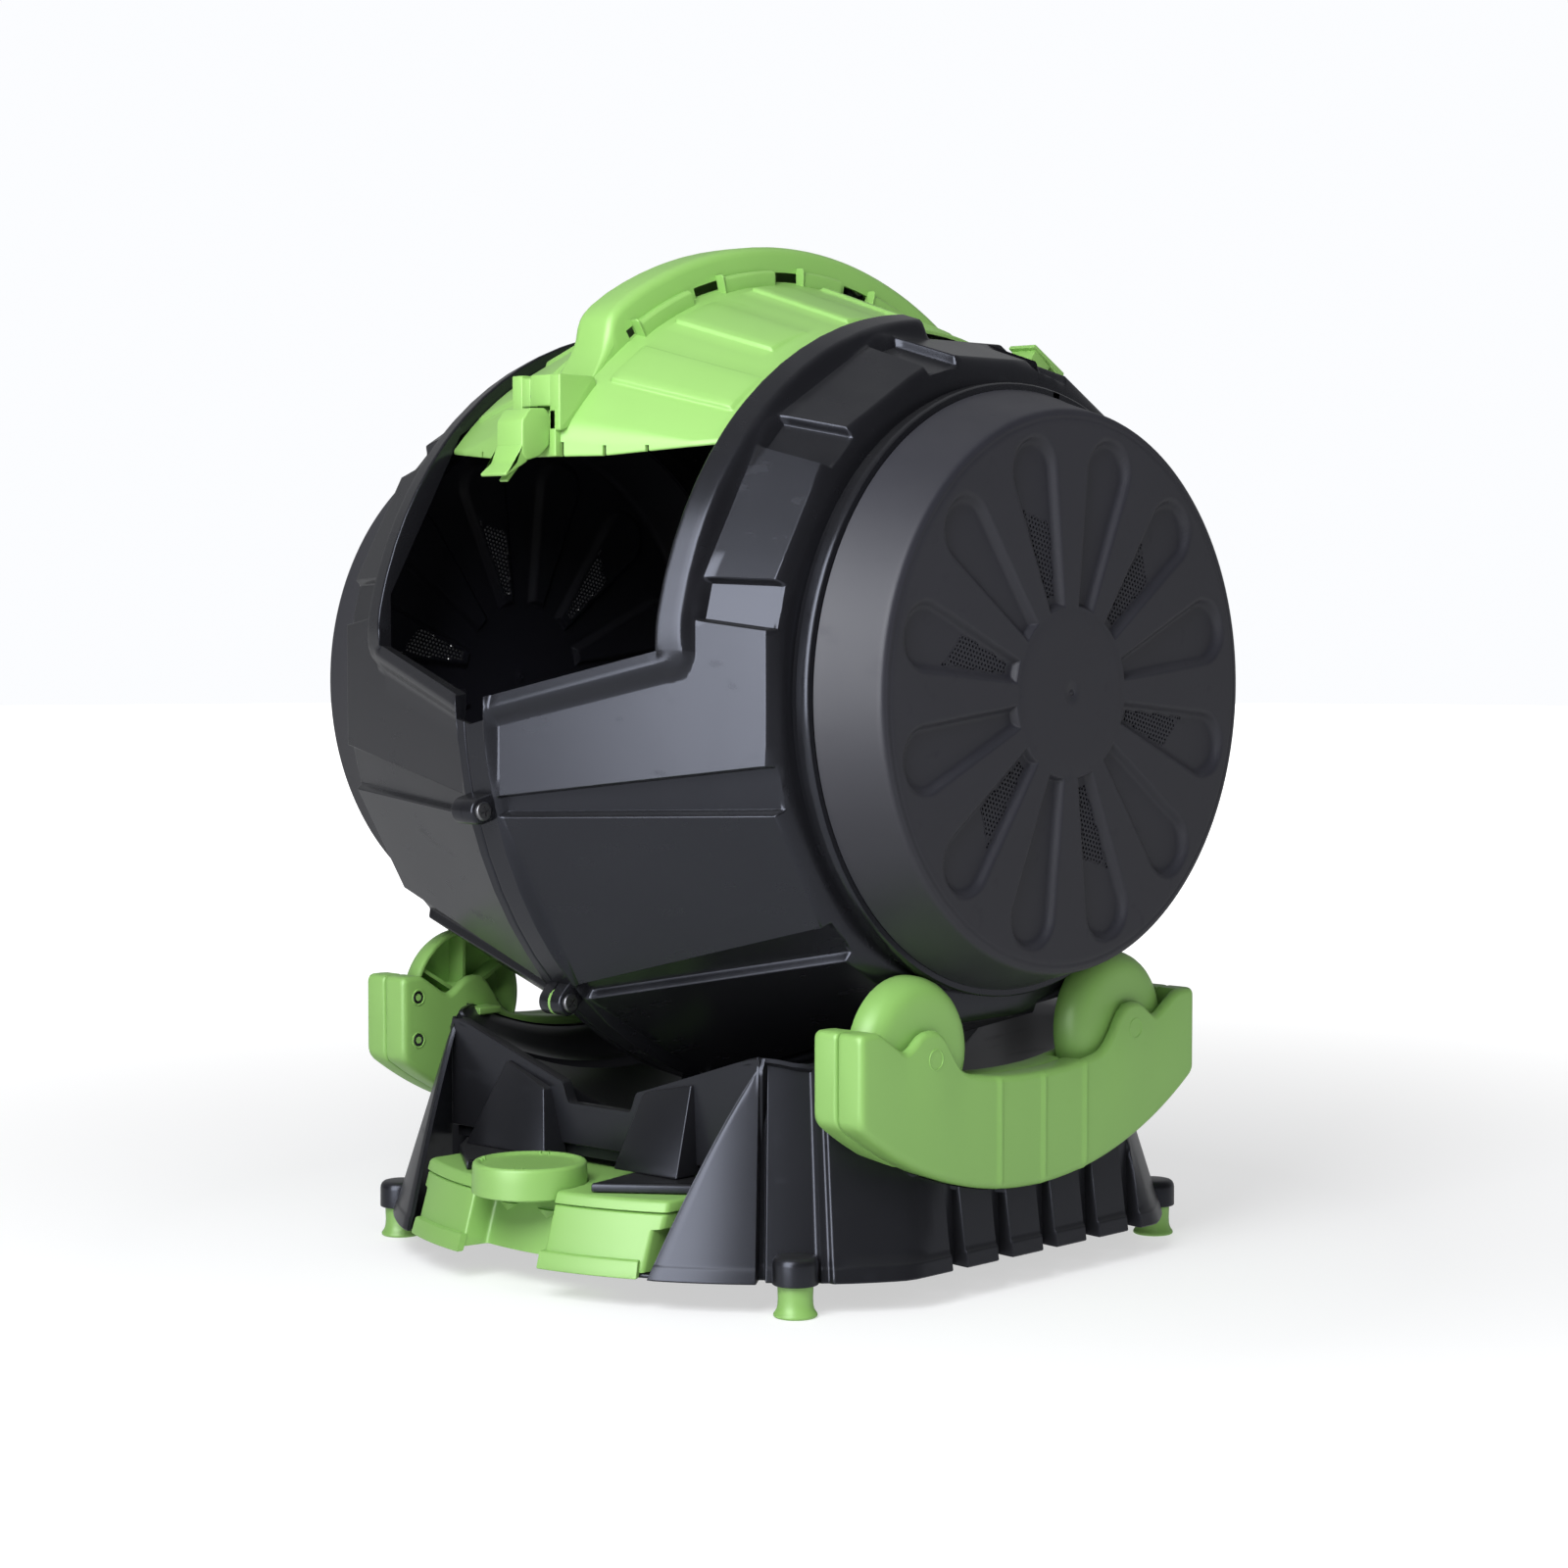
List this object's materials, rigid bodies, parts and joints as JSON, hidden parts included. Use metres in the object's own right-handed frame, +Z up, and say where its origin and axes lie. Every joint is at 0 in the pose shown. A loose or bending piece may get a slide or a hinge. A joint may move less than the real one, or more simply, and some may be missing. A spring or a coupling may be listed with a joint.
{
  "type": "compost tumbler",
  "caption": "Round compost tumbler: a faceted barrel drum with a sliding hatch door lies across rollers on a round base that holds a pull-out tank for the liquid.",
  "frame": {"origin": "on the ground under the middle of the object", "axes": "+X along the drum axis, -Y towards the hatch and the tank, +Z up"},
  "size_m": [0.701, 0.759, 0.912],
  "materials": {
    "black": "satin moulded plastic",
    "cap_black": "matt moulded plastic",
    "green": "satin moulded plastic",
    "steel": "plated steel"
  },
  "bodies": {
    "base": {"base_shell": "black", "feet": "green", "bracket_inner_left": "green", "bracket_inner_right": "green", "bracket_outer_left": "green", "bracket_outer_right": "green", "bracket_screws": "steel", "roller_axles": "steel"},
    "drum": {"drum_half_left": "black", "drum_half_right": "black", "end_cap_left": "cap_black", "end_cap_right": "cap_black", "seam_bolts": "steel", "seam_nuts": "steel", "seam_spacers": "green"},
    "door": {"door_left": "green", "door_right": "green", "door_clips": "green", "latch_frame": "green", "latch_pin": "steel"},
    "latch": {"latch_lever": "green"},
    "tank": {"tank_body": "green", "tank_lid": "green"},
    "tank_cap_body": {"tank_cap": "green"},
    "roller_left_front_body": {"roller_left_front": "green"},
    "roller_left_back_body": {"roller_left_back": "green"},
    "roller_right_front_body": {"roller_right_front": "green"},
    "roller_right_back_body": {"roller_right_back": "green"}
  },
  "joints": [
    {"name": "drum_spin", "type": "hinge", "parent": "base", "child": "drum", "pos_m": [0, 0, 0.512], "axis": [1, 0, 0], "continuous": true},
    {"name": "door_slide", "type": "hinge", "parent": "drum", "child": "door", "pos_m": [0, 0, 0.512], "axis": [-1, 0, 0], "range_deg": [-34, 45]},
    {"name": "latch_lift", "type": "hinge", "parent": "door", "child": "latch", "pos_m": [0, -0.28981, 0.76393], "axis": [-1, 0, 0], "range_deg": [0, 24]},
    {"name": "tank_pull", "type": "slide", "parent": "base", "child": "tank", "axis": [0, -1, 0], "range_m": [0, 0.25]},
    {"name": "cap_lift", "type": "slide", "parent": "tank", "child": "tank_cap_body", "axis": [0, 0, 1], "range_m": [0, 0.06]},
    {"name": "roller_left_front_spin", "type": "hinge", "parent": "base", "child": "roller_left_front_body", "pos_m": [-0.2875, -0.1357, 0.2112], "axis": [1, 0, 0], "continuous": true},
    {"name": "roller_left_back_spin", "type": "hinge", "parent": "base", "child": "roller_left_back_body", "pos_m": [-0.2875, 0.1357, 0.2112], "axis": [1, 0, 0], "continuous": true},
    {"name": "roller_right_front_spin", "type": "hinge", "parent": "base", "child": "roller_right_front_body", "pos_m": [0.2875, -0.1357, 0.2112], "axis": [1, 0, 0], "continuous": true},
    {"name": "roller_right_back_spin", "type": "hinge", "parent": "base", "child": "roller_right_back_body", "pos_m": [0.2875, 0.1357, 0.2112], "axis": [1, 0, 0], "continuous": true}
  ],
  "couplings": [
    {"joint": "roller_left_front_spin", "follows": "drum_spin", "ratio": -4.0187},
    {"joint": "roller_left_back_spin", "follows": "drum_spin", "ratio": -4.0187},
    {"joint": "roller_right_front_spin", "follows": "drum_spin", "ratio": -4.0187},
    {"joint": "roller_right_back_spin", "follows": "drum_spin", "ratio": -4.0187}
  ]
}
